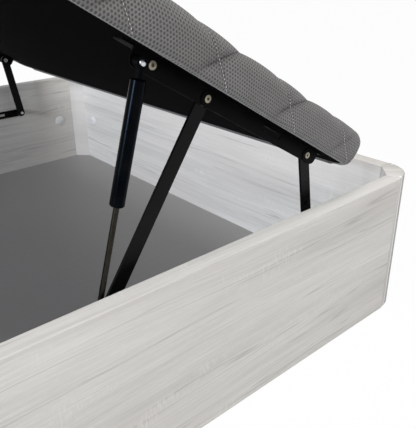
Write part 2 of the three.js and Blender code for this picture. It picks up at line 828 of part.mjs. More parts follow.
function makeCover() {
  const along = box.length - 2 * lid.roll + 2 * rollLength;
  const wide = box.width - 2 * lid.roll + 2 * rollLength;
  const firstRow = lid.quiltRow - lid.girth;
  const rows = wide - 2 * firstRow;
  const halfAlong = lid.quiltAlong / 2;
  const halfAcross = rows / (2 * Math.round(rows / lid.quiltAcross));
  const us = coverLines(along, lid.quiltStart, halfAlong);
  const vs = coverLines(wide, firstRow, halfAcross);

  const puff = (u, v) => {
    const a = ((u - lid.quiltStart) / halfAlong) * (Math.PI / 2);
    const b = ((v - firstRow) / halfAcross) * (Math.PI / 2);
    return lid.quiltDepth * Math.abs(Math.sin(a + b) * Math.sin(a - b));
  };

  const coverPoint = (u, v) => {
    const fromEnd = Math.min(u, along - u);
    const fromSide = Math.min(v, wide - v);
    const edge = drape(Math.min(fromEnd, fromSide));
    const signX = u < along / 2 ? 1 : -1;
    const signY = v < wide / 2 ? -1 : 1;
    let x = box.length / 2 - drape(fromEnd).inset;
    let y = halfWidth - drape(fromSide).inset;
    let outX = fromEnd < fromSide ? 1 : 0;
    let outY = 1 - outX;
    const pastX = x - (box.length / 2 - box.post);
    const pastY = y - (halfWidth - box.post);
    if (pastX > 0 && pastY > 0) {
      const reach = Math.max(pastX, pastY);
      const span = Math.hypot(pastX, pastY);
      outX = pastX / span;
      outY = pastY / span;
      x = box.length / 2 - box.post + outX * reach;
      y = halfWidth - box.post + outY * reach;
    }
    const drawn = puff(u, v) - lid.quiltDepth;
    const crown = lid.crown * Math.sin((Math.PI * u) / along) * Math.sin((Math.PI * v) / wide);
    return {
      x: signX * (x + outX * edge.out * drawn),
      y: signY * (y + outY * edge.out * drawn),
      z: edge.height + edge.up * (drawn + crown),
      outX: signX * outX,
      outY: signY * outY,
    };
  };

  const positions = [];
  const faces = [];
  const centreX = (lidHeadX + lidFootX) / 2;
  const put = (x, y, z) => positions.push(centreX + x, y, lidUnder + z) / 3 - 1;
  const face = (a, b, c) => faces.push(a, b, c);

  const grid = us.map((u) => vs.map((v) => {
    const point = coverPoint(u, v);
    return { ...point, index: put(point.x, point.y, point.z), puff: puff(u, v) };
  }));
  for (let i = 0; i + 1 < us.length; i += 1) {
    for (let j = 0; j + 1 < vs.length; j += 1) {
      const a = grid[i][j];
      const b = grid[i + 1][j];
      const c = grid[i + 1][j + 1];
      const d = grid[i][j + 1];
      if (a.puff + c.puff < b.puff + d.puff) {
        face(a.index, c.index, b.index);
        face(a.index, d.index, c.index);
      } else {
        face(a.index, d.index, b.index);
        face(b.index, d.index, c.index);
      }
    }
  }

  // Round the edge of the grid, then down and under to the border's foot
  const lastU = us.length - 1;
  const lastV = vs.length - 1;
  const girth = [];
  for (let i = 0; i < lastU; i += 1) girth.push(grid[i][0]);
  for (let j = 0; j < lastV; j += 1) girth.push(grid[lastU][j]);
  for (let i = lastU; i > 0; i -= 1) girth.push(grid[i][lastV]);
  for (let j = lastV; j > 0; j -= 1) girth.push(grid[0][j]);
  const lower = (inset, height) => girth.map((point) => {
    const x = point.x - point.outX * inset;
    const y = point.y - point.outY * inset;
    return { x, y, index: put(x, y, height) };
  });
  const rings = [
    girth,
    lower(lid.tuck / 8, lid.tuckHeight - lid.borderDrop),
    lower(lid.tuck, -lid.borderDrop),
  ];
  const strip = (upper, under) => {
    for (let i = 0; i < upper.length; i += 1) {
      const next = (i + 1) % upper.length;
      face(upper[i].index, upper[next].index, under[next].index);
      face(upper[i].index, under[next].index, under[i].index);
    }
  };
  strip(rings[0], rings[1]);
  strip(rings[1], rings[2]);

  // The hollow that holds the sheet and the board
  const inner = (inset, height) => lidOutline(inset).map((point) => {
    const x = point.x - centreX;
    return { x, y: point.y, index: put(x, point.y, height) };
  });
  const hollow = [
    inner(lid.wall, -lid.borderDrop),
    inner(lid.wall, ceiling - lidUnder),
  ];
  const fill = (contour, holes) => {
    const toPoint = (point) => new THREE.Vector2(point.x, point.y);
    const all = [contour, ...holes].flat();
    const innerContours = holes.map((hole) => hole.map(toPoint));
    const triangles = THREE.ShapeUtils.triangulateShape(contour.map(toPoint), innerContours);
    for (const [a, b, c] of triangles) {
      const [p, q, r] = [all[a], all[b], all[c]];
      const turn = (q.x - p.x) * (r.y - p.y) - (q.y - p.y) * (r.x - p.x);
      if (turn < 0) face(p.index, q.index, r.index);
      else face(p.index, r.index, q.index);
    }
  };
  fill(rings[2], [hollow[0]]);
  strip(hollow[1], hollow[0]);
  fill(hollow[1], []);

  const geometry = new THREE.BufferGeometry();
  geometry.setAttribute('position', new THREE.Float32BufferAttribute(positions, 3));
  geometry.setIndex(faces);
  add('lid_pad', solid(setOnLid(geometry)), paint.fabric);
}

makeBoards();
makePosts();
makeCaps();
makeFloor();
makeLowerRails();
makeLidRails();
makeLidHardware();
makeArms();
makeGasSprings();
makeLidBoards();
makeCover();

export default group;
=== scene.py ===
"""Looks of a storage bed base: washed wood box, black lift linkage and a quilted lid."""

import json
import math

import bmesh
import bpy
import numpy as np
from mathutils import Matrix, Vector


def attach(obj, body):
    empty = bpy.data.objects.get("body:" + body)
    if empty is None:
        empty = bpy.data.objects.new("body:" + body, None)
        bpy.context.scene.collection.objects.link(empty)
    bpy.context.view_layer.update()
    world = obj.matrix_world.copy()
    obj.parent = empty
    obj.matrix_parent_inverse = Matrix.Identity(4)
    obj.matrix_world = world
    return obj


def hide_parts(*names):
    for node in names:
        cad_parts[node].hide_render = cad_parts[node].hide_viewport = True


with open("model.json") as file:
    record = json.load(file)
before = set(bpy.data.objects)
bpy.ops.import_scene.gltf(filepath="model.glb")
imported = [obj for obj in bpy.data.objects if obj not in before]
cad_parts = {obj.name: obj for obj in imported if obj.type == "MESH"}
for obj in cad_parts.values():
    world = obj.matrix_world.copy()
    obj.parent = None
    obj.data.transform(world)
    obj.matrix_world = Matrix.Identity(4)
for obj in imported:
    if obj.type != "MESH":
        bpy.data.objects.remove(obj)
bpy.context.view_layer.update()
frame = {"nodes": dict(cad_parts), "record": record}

MM = 0.001
SIDES = {"near": -1, "far": 1}

# The photograph's viewpoint: place in metres, turn, dip and roll in degrees, focal length in millimetres
CAMERA_PLACE = (-0.074, -1.207, 0.714)
CAMERA_ANGLES = (40.99, -25.23, -0.52)
CAMERA_LENS = 47.79
FLOOR_REACH = 15  # half the studio floor's width, in metres

# Sizes and places that the looks share with the solids, in millimetres. Pivots are given by X and Z.
HALF_WIDTH = 675
HALF_LENGTH = 950
POST_ROUND = 65  # radius of the corner posts
POST_JOINT = 55  # from an outer face to the joint between post and board
HIGHLIGHT_HALF = 1.6  # half the width of the painted highlight along that joint
FACE_DEPTH = 8  # what lies less deep than this belongs to an outer face
LID_TILT = math.radians(31)
HEAD_PIVOT = (656.5, 390.4)
SHORT_FOOT = (683.955, 214)
LONG_FOOT = (234.463, 232)
BOLT_HEAD = 5.7  # radius of a lid bolt's head inside its washer
SOCKET_REACH = 2.3  # radius of the socket in that head, which is painted dark as shade

# Fine shape of the solids: plates with a chamfer, and the angles that stay sharp
CHAMFERED = ("long_arm_near", "long_arm_far", "short_arm_near", "short_arm_far", "lid_rail", "lower_rail")
CHAMFER = 0.45  # on the rails
ARM_CHAMFER = 0.7
SHARP_ON_BOARDS = math.radians(25)
SHARP_ELSEWHERE = math.radians(34)

# Small fixings, in millimetres. A depth is measured inwards from the side's outer face, a place along the lid
# from the head pivot.
LOWER_RAIL_FACE = 33.3
LOWER_RAIL_HEIGHT = 209  # of the row of screws, above the floor
SLOT_INSET = 60  # from an arm's foot to the slot beside it in the lower rail
SCREW_FROM_SLOT = 17  # either way, from the middle of a slot
FLANGE_DEPTH = 67
FLANGE_FACE = 11.8  # height of the lid rail's flange over the pivots' line
FLANGE_SCREWS = (-388, -318, -196, -128, -62)
RAIL_BOLT = (-366, 3)  # along the lid and above the pivots' line
LEG_FACE = 51.5  # depth of the lid rail's upright leg
SOCKET_RISE = 0.42  # how far the dark disc of painted shade in the socket stands out of the rail's leg
STOP_FROM_FOOT = 82  # up the short arm
ARM_FACE = 55.8
FOOT_NUT_FACE = 65.2

# The cover, in millimetres. Heights are measured from the underside of the lid.
LID_LENGTH = 2 * HALF_LENGTH
LID_WIDTH = 2 * HALF_WIDTH
LID_CORNER = 65  # radius of its corners, seen from above
LID_HEAD_END = 108.3  # from the head pivot to the lid's head end
LID_UNDER = 14.1  # from the head pivot up to the lid's underside
GIRTH = 36  # height of the upright border
ROLL = 24  # radius between the border and the top
CROWN = 5  # how much the middle stands higher than the edges
HEAD_INSET = 2  # how far the cover stays back at the head end
BORDER_DROP = 3.6  # how far the border hangs below the lid
BORDER_STEPS = 8  # rings of the mesh down the border
TUCK = 5  # how far the border's foot is drawn in
TUCK_HEIGHT = 9  # over which it is drawn in
CORNER_LIFT = 5  # how far the foot rises round a corner
CORNER_TUCK = 9
CORNER_TUCK_HEIGHT = 34
CORNER_LIP = 8  # how far the cloth wraps under the sheet at a corner
LIP_RINGS = 3  # rings of the foot that are cloth, below which the black sheet starts
FOOT_CLOTH = 4.0  # cloth used by each ring of the foot
WALL = 12  # thickness of the border round the board
HOLLOW = 16.8  # height of the hollow that holds the board

# The quilting. Its seams run in two families, aslant both ways over the cloth.
QUILT_ALONG = 163  # between crossings, along the lid
QUILT_START = 103  # first crossing from the head end's edge of the top
QUILT_ROW = 28  # from the border's foot up to the lowest crossings
QUILT_ROWS = 9  # diamonds across the lid
QUILT_DEPTH = 4.8  # how deep the seams are drawn in
SWELL_REACH = 17  # distance over which the cloth rises from a seam of the deeper family
SHALLOW = 0.65  # depth of the other family, as a share of the first
SHALLOW_REACH = 12
PUCKER = 0.3  # height of the ripples close to a seam
PUCKER_REACH = 9
SLOW_WAVE = 0.7  # height of the slow unevenness of the top
CALM_CORNER = 45  # from a corner to where its seams start to deepen
CALM_FADE = 110  # over which they reach their full depth
SWAY = 8  # how far seams wander near the border
SWAY_LENGTH = 644  # of one such wave along the lid
SWAY_START = 398
SWAY_REACH = 190  # from the border inwards
STEPS_BETWEEN = 13  # mesh steps in half the space between crossings
STITCH_PITCH = 5.2
THREAD_RADIUS = 0.52
THREAD_STRETCH = 3.4  # length of a stitch over its thickness
THREAD_LIFT = 0.5  # height of the thread over the cloth
THREAD_END = 3  # from the border's foot to the end of a seam's thread
SEAM_STEP = 4.0  # between the points of a seam's line
KNIT_ALONG = 5.05  # between openings of the knit in one row
KNIT_DOWN = 8.8  # between rows that stand in line
SHADE_FROM_CORNER = (70, 150)  # where the seams' shade sets in

ROLL_LENGTH = ROLL * math.pi / 2
COVER_ALONG = LID_LENGTH - 2 * ROLL + 2 * ROLL_LENGTH
COVER_WIDE = LID_WIDTH - 2 * ROLL + 2 * ROLL_LENGTH
FIRST_ROW = QUILT_ROW - GIRTH
QUILT_ACROSS = (COVER_WIDE - 2 * FIRST_ROW) / QUILT_ROWS
SEAM_SPACING = 1 / math.hypot(1 / QUILT_ALONG, 1 / QUILT_ACROSS)


# Materials

def add_node(tree, kind, inputs=None, **settings):
    """A node with its settings. An input given as a socket is linked, any other is set to its value."""
    made = tree.nodes.new(kind)
    for key, value in settings.items():
        setattr(made, key, value)
    for key, value in (inputs or {}).items():
        if isinstance(value, bpy.types.NodeSocket):
            tree.links.new(value, made.inputs[key])
        else:
            made.inputs[key].default_value = value
    return made


class Finish:
    """A material with one Principled shader, and short calls that add nodes to it."""

    def __init__(self, name, **sockets):
        self.material = bpy.data.materials.new(name)
        self.material.use_nodes = True
        self.nodes = self.material.node_tree.nodes
        self.links = self.material.node_tree.links
        self.shader = self.nodes["Principled BSDF"]
        for socket, value in sockets.items():
            self.shader.inputs[socket.replace("_", " ")].default_value = value

    def node(self, kind, inputs=None, **settings):
        return add_node(self.material.node_tree, kind, inputs, **settings)

    def maths(self, operation, a, b=0.0, c=0.0):
        """One step of arithmetic on sockets or values."""
        return self.node("ShaderNodeMath", {0: a, 1: b, 2: c}, operation=operation).outputs[0]

    def place(self):
        """The place on the piece, in metres."""
        return self.node("ShaderNodeTexCoord").outputs["Object"]

    def noise(self, vector, scale, detail=3.0, roughness=0.5, distortion=0.0):
        return self.node("ShaderNodeTexNoise", {
            "Vector": vector, "Scale": scale, "Detail": detail,
            "Roughness": roughness, "Distortion": distortion,
        }).outputs["Fac"]

    def stretched(self, vector, scale):
        """Places scaled by so much along each axis, so that a noise over them is drawn out or drawn in."""
        return self.node("ShaderNodeMapping", {"Vector": vector, "Scale": scale}).outputs["Vector"]

    def streaks(self, sheet, along, across, detail, roughness=0.5, distortion=0.0):
        """Noise with so many waves a metre along a sheet and across it."""
        return self.noise(self.stretched(sheet, (along, across, 1)), 1.0, detail, roughness, distortion)

    def between(self, value, low, high, to_low=0.0, to_high=1.0):
        """Carries a value from one range to another, and keeps it in that range."""
        return self.node("ShaderNodeMapRange", {
            "Value": value, "From Min": low, "From Max": high,
            "To Min": to_low, "To Max": to_high,
        }).outputs["Result"]

    def mix(self, share, a, b):
        """A colour between two, by a share from 0 to 1."""
        return self.node("ShaderNodeMix", {0: share, 6: a, 7: b}, data_type="RGBA").outputs[2]

    def colour(self, socket):
        self.links.new(socket, self.shader.inputs["Base Color"])

    def roughness(self, socket):
        self.links.new(socket, self.shader.inputs["Roughness"])

    def relief(self, height, distance, strength=1.0):
        """Bumps of a depth in metres."""
        bump = self.node("ShaderNodeBump", {"Height": height, "Distance": distance, "Strength": strength})
        self.links.new(bump.outputs["Normal"], self.shader.inputs["Normal"])


def grey(level, warm=0.0):
    """A linear grey for an sRGB level from 0 to 255, a little warm or cool."""
    share = level / 255
    linear = ((share + 0.055) / 1.055) ** 2.4 if share > 0.04045 else share / 12.92
    return (linear * (1 + warm), linear, linear * (1 - warm), 1)


PINK_WASH = (0.545, 0.505, 0.48, 1)


def washed(level):
    """The boards' grey for an sRGB level: a touch of yellow in it."""
    plain = grey(level)[1]
    return (plain * 1.02, plain, plain * 0.945, 1)


def washed_wood(name, grain, light=212, dark=163, post=False):
    """Pale washed boards: soft streaks and fine lines along the grain, and faint saw marks across it."""
    wood = Finish(name, Roughness=0.55, Specular_IOR_Level=0.3)
    parts = wood.node("ShaderNodeSeparateXYZ", {0: wood.place()}).outputs
    along, beside, above = (parts[k] for k in {"X": (0, 1, 2), "Y": (1, 0, 2), "Z": (2, 0, 1)}[grain])
    across = wood.maths("ADD", beside, above)
    sheet = wood.node("ShaderNodeCombineXYZ", {0: along, 1: across}).outputs[0]
    drift = wood.noise(wood.stretched(sheet, (1.1, 4.5, 1)), 1.4, 2.5)
    bent = wood.node("ShaderNodeCombineXYZ", {
        0: along, 1: wood.maths("MULTIPLY_ADD", drift, 0.035, across),
    }).outputs[0]
    bands = wood.between(wood.streaks(bent, 1.0, 19, 3.0, 0.55), 0.34, 0.7)
    zones = wood.between(wood.streaks(bent, 1.7, 12, 2.0), 0.38, 0.64, 0.25, 1.0)
    streaks = wood.between(wood.streaks(bent, 2.2, 120, 4.0, 0.62, 0.2), 0.42, 0.76)
    lines = wood.streaks(bent, 9, 420, 3.0, 0.6)
    fibres = wood.streaks(bent, 70, 1000, 2.0)
    tone = wood.maths("MULTIPLY_ADD", bands, 0.4, wood.between(lines, 0.34, 0.72, 0, 0.3))
    tone = wood.maths("MULTIPLY_ADD", wood.maths("MULTIPLY", streaks, zones), 0.4, tone)
    tone = wood.maths("MULTIPLY_ADD", wood.between(fibres, 0.25, 0.75), 0.2, tone)
    base = wood.mix(wood.between(tone, 0.15, 1.15), washed(light), washed(dark))
    # Broad clouds of a pinker wash
    wash = wood.streaks(sheet, 1.3, 3.2, 2.0)
    base = wood.mix(wood.between(wash, 0.42, 0.68, 0, 0.5), base, PINK_WASH)
    # A few darker lines run the length of the board
    vein = wood.maths("ABSOLUTE", wood.maths("SUBTRACT", wood.streaks(bent, 0.8, 34, 2.0), 0.6))
    vein = wood.between(vein, 0.0, 0.014, 1.0, 0.0)
    base = wood.mix(wood.maths("MULTIPLY", vein, 0.42), base, washed(dark - 26))
    # Light saw marks cross the grain in patches
    saw = wood.between(wood.streaks(sheet, 300, 55, 2.0), 0.5, 0.68)
    patches = wood.between(wood.streaks(sheet, 6, 15, 2.0), 0.57, 0.7)
    marks = wood.maths("MULTIPLY", saw, patches)
    base = wood.mix(wood.maths("MULTIPLY", marks, 0.5), base, washed(light + 12))
    # Posts also get a painted highlight along each joint and painted shade on their rounded face
    if post:
        base = paint_post_highlight_and_shade(wood, parts, base)
    wood.colour(base)
    wood.roughness(wood.between(lines, 0.2, 0.8, 0.5, 0.62))
    wood.relief(wood.maths("MULTIPLY_ADD", fibres, 0.4, lines), 0.00015, 0.3)
    return wood.material


def paint_post_highlight_and_shade(wood, parts, base):
    """Paints a pale highlight down each post along its joint with the board beside it, and painted shade that
    makes the rounded face beyond the joint greyer.
    """
    x = wood.maths("ABSOLUTE", parts["X"])
    y = wood.maths("ABSOLUTE", parts["Y"])
    past_x = wood.maths("SUBTRACT", x, (HALF_LENGTH - POST_ROUND) * MM)
    past_y = wood.maths("SUBTRACT", y, (HALF_WIDTH - POST_ROUND) * MM)
    square = wood.maths("MULTIPLY_ADD", past_x, past_x, wood.maths("MULTIPLY", past_y, past_y))
    facing_round = wood.maths("GREATER_THAN", wood.maths("SQRT", square), (POST_ROUND - 2) * MM)
    joint_x = (HALF_LENGTH - POST_JOINT) * MM
    joint_y = (HALF_WIDTH - POST_JOINT) * MM
    by_side = wood.maths("COMPARE", x, joint_x, HIGHLIGHT_HALF * MM)
    by_end = wood.maths("COMPARE", y, joint_y, HIGHLIGHT_HALF * MM)
    facing_side = wood.maths("GREATER_THAN", y, (HALF_WIDTH - FACE_DEPTH) * MM)
    facing_end = wood.maths("GREATER_THAN", x, (HALF_LENGTH - FACE_DEPTH) * MM)
    line = wood.maths("MULTIPLY_ADD", by_side, facing_side, wood.maths("MULTIPLY", by_end, facing_end))
    beyond_side = wood.maths("GREATER_THAN", x, joint_x)
    beyond_end = wood.maths("GREATER_THAN", y, joint_y)
    rounded = wood.maths("MULTIPLY", wood.maths("MULTIPLY", beyond_side, beyond_end), facing_round)
    # Painted shade: the rounded face beyond the joints is mixed towards grey
    base = wood.mix(wood.maths("MULTIPLY", rounded, 0.45), base, grey(120, 0.01))
    # Painted highlight: a pale line along the joint on the outer faces
    return wood.mix(line, base, grey(238, 0.01))


def floor_laminate():
    """The storage floor: plain mid-grey board with a faint mottle and a soft sheen."""
    laminate = Finish("grey_floor_laminate", Roughness=0.5)
    mottle = laminate.noise(laminate.place(), 95, 4.0, 0.6)
    cloud = laminate.noise(laminate.place(), 2.2, 2.0)
    tone = laminate.maths("MULTIPLY_ADD", cloud, 0.5, laminate.maths("MULTIPLY", mottle, 0.5))
    laminate.colour(laminate.mix(laminate.between(tone, 0.3, 0.7), grey(136, 0.03), grey(143, 0.03)))
    laminate.relief(mottle, 0.00015, 0.25)
    return laminate.material


def raw_wood(name, light, dark):
    """Unfinished batten wood and plywood, seen only from below or with the cover off."""
    raw = Finish(name, Roughness=0.8)
    grain = raw.noise(raw.stretched(raw.place(), (3, 60, 60)), 1.0, 5.0, 0.6, 0.3)
    raw.colour(raw.mix(raw.between(grain, 0.3, 0.7), light, dark))
    raw.relief(grain, 0.0004, 0.5)
    return raw.material


def black_lacquer(name, roughness, level, shine, tint=(1, 1, 1, 1)):
    """Black powder coat with a fine orange peel and worn, slightly lighter spots."""
    lacquer = Finish(name, Roughness=roughness, Specular_IOR_Level=shine, Specular_Tint=tint)
    peel = lacquer.noise(lacquer.place(), 420, 3.0, 0.55)
    wear = lacquer.noise(lacquer.place(), 34, 4.0, 0.6)
    lacquer.colour(lacquer.mix(lacquer.between(wear, 0.35, 0.75), grey(level), grey(level + 7, 0.02)))
    lacquer.roughness(lacquer.between(wear, 0.3, 0.7, roughness * 0.85, roughness * 1.2))
    lacquer.relief(peel, 0.00006, 0.35)
    return lacquer.material


def plated(name, colour, roughness):
    """Zinc or yellow-passivated steel, turned, with a fine grain and dulled patches."""
    metal = Finish(name, Metallic=1.0, Roughness=roughness)
    patches = metal.noise(metal.place(), 130, 4.0, 0.6)
    darker = tuple(c * 0.62 for c in colour[:3]) + (1,)
    metal.colour(metal.mix(metal.between(patches, 0.35, 0.75), colour, darker))
    metal.roughness(metal.between(patches, 0.3, 0.7, roughness * 0.8, roughness * 1.4))
    metal.relief(metal.noise(metal.place(), 900, 2.0), 0.00005, 0.3)
    return metal.material


def moulded(name, level, roughness):
    """Moulded plastic: caps and bushes."""
    plastic = Finish(name, Roughness=roughness)
    fine = plastic.noise(plastic.place(), 600, 2.0)
    cloud = plastic.noise(plastic.place(), 40, 2.0)
    plastic.colour(plastic.mix(cloud, grey(level), grey(level - 8)))
    plastic.relief(fine, 0.00008, 0.3)
    return plastic.material


def black_felt():
    """The black non-woven sheet that closes the lid from below."""
    felt = Finish("black_underside_felt", Roughness=0.95, Specular_IOR_Level=0.03)
    fibres = felt.noise(felt.place(), 850, 4.0, 0.7, 0.6)
    points = felt.node("ShaderNodeTexVoronoi", {"Vector": felt.place(), "Scale": 420.0}).outputs["Distance"]
    felt.colour(felt.mix(felt.between(fibres, 0.3, 0.8), grey(1, -0.04), grey(5, -0.04)))
    felt.relief(felt.maths("ADD", fibres, points), 0.0004, 0.5)
    return felt.material


def cover_fabric():
    """The lid's spacer knit: rows of small openings on a grey ground, with painted shade along the quilting's
    seams.
    """
    fabric = Finish("grey_spacer_knit", Roughness=0.92, Specular_IOR_Level=0.25,
                    Sheen_Weight=0.25, Sheen_Roughness=0.45)
    cloth = fabric.node("ShaderNodeUVMap", uv_map="cover").outputs[0]
    u, v = fabric.node("ShaderNodeSeparateXYZ", {0: cloth}).outputs[:2]
    along = fabric.maths("MULTIPLY_ADD", fabric.noise(cloth, 14.0, 2.0), 0.006, u)
    down = fabric.maths("MULTIPLY_ADD", fabric.noise(cloth, 5.0, 2.0), 0.012, v)
    # Openings stand in rows, every other row moved by half a pitch
    column = fabric.maths("COSINE", fabric.maths("MULTIPLY", along, 2 * math.pi / (KNIT_ALONG * MM)))
    half_row = fabric.maths("COSINE", fabric.maths("MULTIPLY", down, 2 * math.pi / (KNIT_DOWN * MM)))
    row = fabric.maths("COSINE", fabric.maths("MULTIPLY", down, 4 * math.pi / (KNIT_DOWN * MM)))
    net = fabric.maths("MULTIPLY_ADD", fabric.maths("MULTIPLY", column, half_row), 2.0, row)
    hole = fabric.between(net, -1.35, 1.9)
    yarn = fabric.streaks(cloth, 1700, 1700, 2.0, 0.6)
    strand = fabric.mix(fabric.between(yarn, 0.25, 0.8), grey(133, 0.032), grey(101, 0.032))
    knitted = fabric.mix(hole, strand, grey(72, 0.032))
    cloud = fabric.noise(cloth, 30.0, 3.0)
    knitted = fabric.mix(fabric.between(cloud, 0.3, 0.7, 0, 0.16), knitted, grey(66, 0.016))
    # Painted shade along the seams darkens the knit towards a dark grey
    fabric.colour(fabric.mix(seam_shade(fabric, u, v), knitted, grey(30, 0.016)))
    height = fabric.maths("MULTIPLY_ADD", yarn, 0.3, fabric.maths("MULTIPLY", hole, -1.0))
    fabric.relief(height, 0.0009, 0.7)
    return fabric.material


def seam_shade(fabric, u, v):
    """Painted shade along the seams: a thin dark line and a soft shade beside each seam of the deeper family,
    and a fainter line along the other family.
    """
    p = fabric.maths("DIVIDE", fabric.maths("SUBTRACT", u, QUILT_START * MM), QUILT_ALONG * MM)
    q = fabric.maths("DIVIDE", fabric.maths("SUBTRACT", v, FIRST_ROW * MM), QUILT_ACROSS * MM)
    deep = fabric.maths("MULTIPLY", fabric.maths("PINGPONG", fabric.maths("ADD", p, q), 0.5), SEAM_SPACING)
    shallow = fabric.maths("PINGPONG", fabric.maths("SUBTRACT", p, q), 0.5)
    shallow = fabric.maths("MULTIPLY", shallow, SEAM_SPACING)
    fold_shade = fabric.between(deep, 0.6, 2.8, 0.7, 0.0)
    shade = fabric.between(deep, 0.0, 9.0, 0.34, 0.0)
    faint = fabric.between(shallow, 1.0, 3.5, 0.4, 0.0)
    dark = fabric.maths("MAXIMUM", fabric.maths("MAXIMUM", fold_shade, shade), faint)
    # The painted shade of both families fades out at the border's foot and round the corners
    to_end = fabric.maths("MINIMUM", u, fabric.maths("SUBTRACT", COVER_ALONG * MM, u))
    to_side = fabric.maths("MINIMUM", v, fabric.maths("SUBTRACT", COVER_WIDE * MM, v))
    faintest = 0.15
    above_foot = fabric.maths("MINIMUM", to_end, to_side)
    above_foot = fabric.between(above_foot, -GIRTH * MM, -GIRTH / 2 * MM, faintest, 1.0)
    start, full = SHADE_FROM_CORNER
    from_corner = fabric.maths("MAXIMUM", to_end, to_side)
    from_corner = fabric.between(from_corner, start * MM, full * MM, faintest, 1.0)
    return fabric.maths("MULTIPLY", fabric.maths("MULTIPLY", dark, above_foot), from_corner)


def thread():
    """Light quilting thread."""
    yarn = Finish("light_quilting_thread", Roughness=0.7)
    twist = yarn.noise(yarn.place(), 1400, 2.0)
    yarn.colour(yarn.mix(twist, grey(196, 0.02), grey(150, 0.02)))
    yarn.relief(twist, 0.0002, 0.5)
    return yarn.material


STEEL = black_lacquer("black_lacquered_steel", 0.4, 4, 0.05)
ARM_STEEL = black_lacquer("black_lacquered_arms", 0.3, 5, 0.1)
GLOSS = black_lacquer("gloss_black_tube", 0.2, 1, 0.045, (0.45, 0.68, 1.0, 1))
# A dark plated colour used as painted shade in the bolts' sockets
SOCKET = plated("painted_shade_bolt_socket", (0.12, 0.105, 0.08, 1), 0.5)
FINISHES = {
    "washed_board": washed_wood("washed_board_along", "X"),
    "washed_end": washed_wood("washed_board_across", "Y"),
    "washed_post": washed_wood("washed_post_upright", "Z", post=True),
    "floor_sheet": floor_laminate(),
    "batten_wood": raw_wood("pine_batten", (0.52, 0.38, 0.22, 1), (0.40, 0.27, 0.15, 1)),
    "lid_plywood": raw_wood("lid_plywood_board", (0.55, 0.42, 0.26, 1), (0.45, 0.32, 0.19, 1)),
    "white_cap": moulded("white_cover_cap", 214, 0.4),
    "nylon": moulded("nylon_bush", 128, 0.45),
    "zinc": plated("yellow_zinc_bolt", (0.47, 0.43, 0.34, 1), 0.33),
    "bright_zinc": plated("bright_zinc_nut", (0.72, 0.73, 0.75, 1), 0.25),
    "black_steel": STEEL,
    "arm_steel": ARM_STEEL,
    "black_tube": GLOSS,
    "rod_steel": plated("dark_piston_rod", (0.03, 0.027, 0.022, 1), 0.25),
    "black_underside": black_felt(),
    "quilted_fabric": cover_fabric(),
    "thread": thread(),
}


def black_washer_and_socket_shade(bolt):
    """The bolt's washer is black, its head plated, and the socket in the head painted dark as shade."""
    bolt.data.materials.append(STEEL)
    bolt.data.materials.append(SOCKET)
    centre = (Vector(bolt.bound_box[0]) + Vector(bolt.bound_box[6])) / 2
    for polygon in bolt.data.polygons:
        away = math.hypot(polygon.center.x - centre.x, polygon.center.z - centre.z)
        # Faces within the socket's radius take the painted shade; those beyond the head take the black washer
        polygon.material_index = 1 if away > BOLT_HEAD * MM else 2 if away < SOCKET_REACH * MM else 0


BOARDS_AND_POSTS = {name for name in frame["nodes"] if "_board" in name or name.startswith("corner_post")}


def finish_of(name):
    """The finish of a solid: that of its slot in the record, or its own where the photo shows another."""
    if name in ("head_board", "foot_board"):
        return "washed_end"
    if name.startswith("gas_top_pin") or "_nut_" in name:
        return "bright_zinc"
    if name.startswith("gas_top_eye"):
        return "black_tube"
    slot = next(s["material_slot"] for s in frame["record"]["subparts"] if s["node"] == name)
    if name.startswith(("long_arm", "short_arm")) and slot == "black_steel":
        return "arm_steel"
    return slot


def dress_solids():
    """Gives each solid of the frame its finish, smooth round faces and a fine chamfer on its plates."""
    for name, solid in frame["nodes"].items():
        solid.data.materials.clear()
        solid.data.materials.append(FINISHES[finish_of(name)])
        if "_lid_bolt_" in name:
            black_washer_and_socket_shade(solid)
        weld = solid.modifiers.new("weld", "WELD")
        weld.merge_threshold = 1e-6
        if name.startswith(CHAMFERED):
            chamfer = solid.modifiers.new("chamfer", "BEVEL")
            chamfer.limit_method = "ANGLE"
            chamfer.angle_limit = SHARP_ELSEWHERE
            chamfer.width = (ARM_CHAMFER if "_arm_" in name else CHAMFER) * MM
            chamfer.segments = 1
        split = solid.modifiers.new("split", "EDGE_SPLIT")
        split.split_angle = SHARP_ON_BOARDS if name in BOARDS_AND_POSTS else SHARP_ELSEWHERE
        for polygon in solid.data.polygons:
            polygon.use_smooth = True


# Places

def on_lid(x, y, z):
    """A place on the open lid, from the head pivot's line: x towards the head, z up from the lid."""
    turned_x = x * math.cos(LID_TILT) + z * math.sin(LID_TILT)
    turned_z = -x * math.sin(LID_TILT) + z * math.cos(LID_TILT)
    return Vector((HEAD_PIVOT[0] + turned_x, y, HEAD_PIVOT[1] + turned_z)) * MM


def at_depth(side, depth):
    """The Y of a depth from a side's outer face, in millimetres."""
    return SIDES[side] * (HALF_WIDTH - depth)


def mesh_object(name, vertices, faces=(), edges=()):
    """An object at the origin with a mesh of its own."""
    mesh = bpy.data.meshes.new(name)
    mesh.from_pydata([tuple(v) for v in vertices], edges, faces)
    made = bpy.data.objects.new(name, mesh)
    bpy.context.scene.collection.objects.link(made)
    return made


# The quilted cover

def seam_distances(u, v):
    """Distance in millimetres from a place of the cover to the nearest seam of each family."""
    p = (u - QUILT_START) / QUILT_ALONG
    q = (v - FIRST_ROW) / QUILT_ACROSS
    first = np.abs(p + q - np.round(p + q)) * SEAM_SPACING
    second = np.abs(p - q - np.round(p - q)) * SEAM_SPACING
    return first, second


